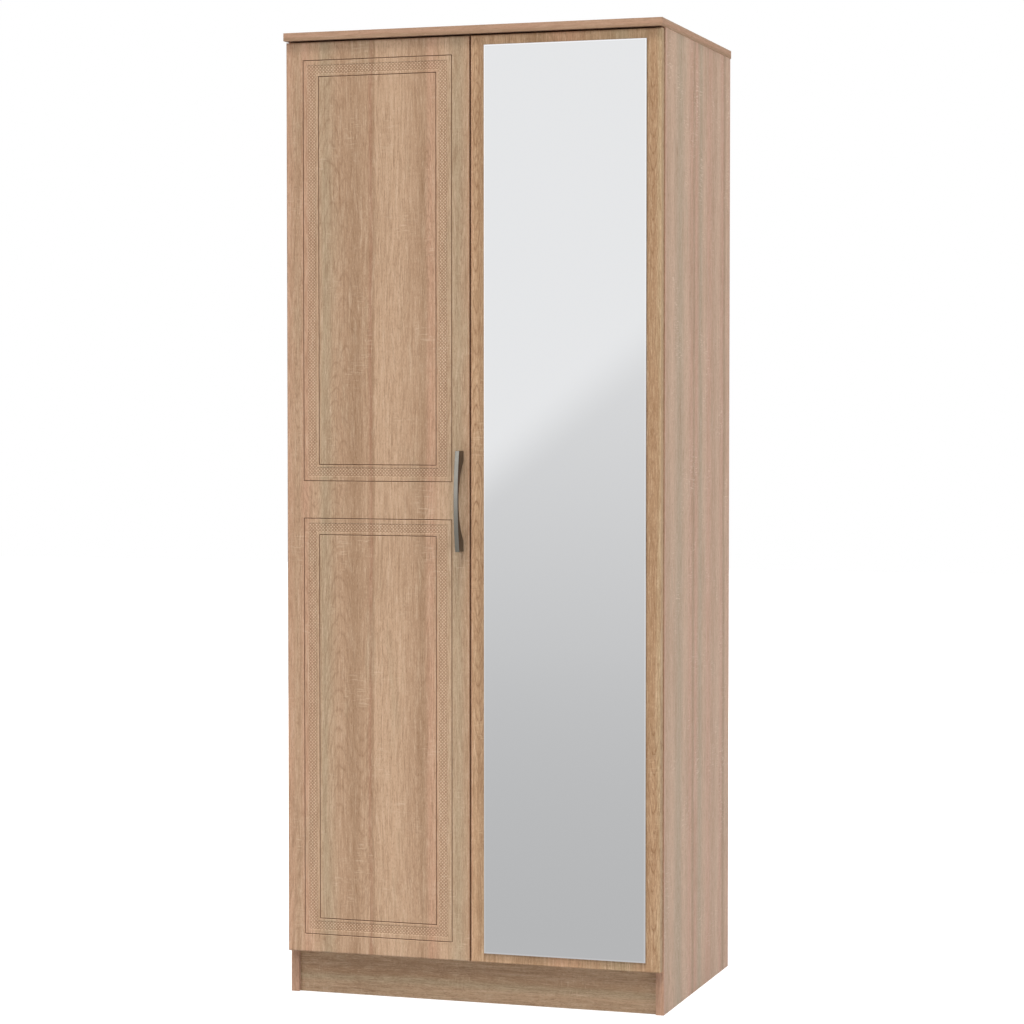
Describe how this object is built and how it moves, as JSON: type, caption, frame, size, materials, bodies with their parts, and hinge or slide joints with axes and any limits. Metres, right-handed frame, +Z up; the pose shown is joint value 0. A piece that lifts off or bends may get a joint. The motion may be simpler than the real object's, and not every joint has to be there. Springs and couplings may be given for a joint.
{
  "type": "two-door wardrobe",
  "caption": "Tall free-standing wardrobe with two side-hung doors, one panelled with a bow handle and one with a full-length mirror; hat shelf and hanging rail inside.",
  "frame": {"origin": "on the floor, at the middle of the overall width and depth, handle included", "axes": "+X to the right as one faces the doors, -Y out through the doors, +Z up"},
  "size_m": [0.74, 0.554, 1.825],
  "materials": {
    "oak_foil_board": "matt oak-print foil on chipboard, grain along the board",
    "oak_edge_band": "matt oak-print edge banding",
    "oak_foil_door": "satin oak-print foil on routed fibreboard",
    "back_hardboard": "lacquered hardboard",
    "white_plastic": "matt extruded plastic",
    "chrome_trim": "bright plated steel",
    "clear_rubber": "soft translucent plastic",
    "mirror_glass": "silvered 3 mm float glass with ground edges",
    "foam_tape": "double-sided foam tape",
    "satin_nickel": "satin nickel-plated zinc casting",
    "beech": "fluted beech dowel",
    "zinc_steel": "zinc-plated steel"
  },
  "bodies": {
    "root": {"left_side_panel": "oak_foil_board", "right_side_panel": "oak_foil_board", "left_side_edge_band": "oak_edge_band", "right_side_edge_band": "oak_edge_band", "top_panel": "oak_foil_board", "top_edge_bands": "oak_edge_band", "base_panel": "oak_foil_board", "base_edge_band": "oak_edge_band", "hat_shelf": "oak_foil_board", "shelf_edge_band": "oak_edge_band", "front_plinth": "oak_foil_board", "rear_plinth": "oak_foil_board", "left_back_sheet": "back_hardboard", "right_back_sheet": "back_hardboard", "back_joiner": "white_plastic", "back_panel_nails": "zinc_steel", "hanging_rail": "chrome_trim", "rail_sockets": "chrome_trim", "rail_socket_screws": "zinc_steel", "wall_bracket": "zinc_steel", "wall_bracket_screws": "zinc_steel", "cam_locks": "zinc_steel", "cam_bolts": "zinc_steel", "wood_dowels": "beech", "left_hinge_plates": "zinc_steel", "left_hinge_arms": "zinc_steel", "left_hinge_pins": "zinc_steel", "left_plate_screws": "zinc_steel", "left_hinge_adjusters": "zinc_steel", "right_hinge_plates": "zinc_steel", "right_hinge_arms": "zinc_steel", "right_hinge_pins": "zinc_steel", "right_plate_screws": "zinc_steel", "right_hinge_adjusters": "zinc_steel"},
    "left_door": {"left_door_panel": "oak_foil_door", "bow_handle": "satin_nickel", "handle_screws": "zinc_steel", "left_hinge_cups": "zinc_steel", "left_cup_screws": "zinc_steel", "left_door_bumpers": "clear_rubber"},
    "right_door": {"right_door_panel": "oak_foil_door", "mirror": "mirror_glass", "mirror_tapes": "foam_tape", "right_hinge_cups": "zinc_steel", "right_cup_screws": "zinc_steel", "right_door_bumpers": "clear_rubber"},
    "left_links": {"left_hinge_links": "zinc_steel"},
    "right_links": {"right_hinge_links": "zinc_steel"}
  },
  "joints": [
    {"name": "left_door_hinge", "type": "hinge", "parent": "root", "child": "left_door", "pos_m": [-0.361, -0.2345, 0.9445], "axis": [0, 0, -1], "range_deg": [0, 100]},
    {"name": "right_door_hinge", "type": "hinge", "parent": "root", "child": "right_door", "pos_m": [0.361, -0.2345, 0.9445], "axis": [0, 0, 1], "range_deg": [0, 100]},
    {"name": "left_link_pivot", "type": "hinge", "parent": "root", "child": "left_links", "pos_m": [-0.3355, -0.2207, 0.9445], "axis": [0, 0, -1], "range_deg": [-16.1, 0]},
    {"name": "right_link_pivot", "type": "hinge", "parent": "root", "child": "right_links", "pos_m": [0.3355, -0.2207, 0.9445], "axis": [0, 0, 1], "range_deg": [-16.1, 0]}
  ],
  "couplings": [
    {"joint": "left_link_pivot", "follows": "left_door_hinge", "ratio": -0.1608},
    {"joint": "right_link_pivot", "follows": "right_door_hinge", "ratio": -0.1608}
  ]
}
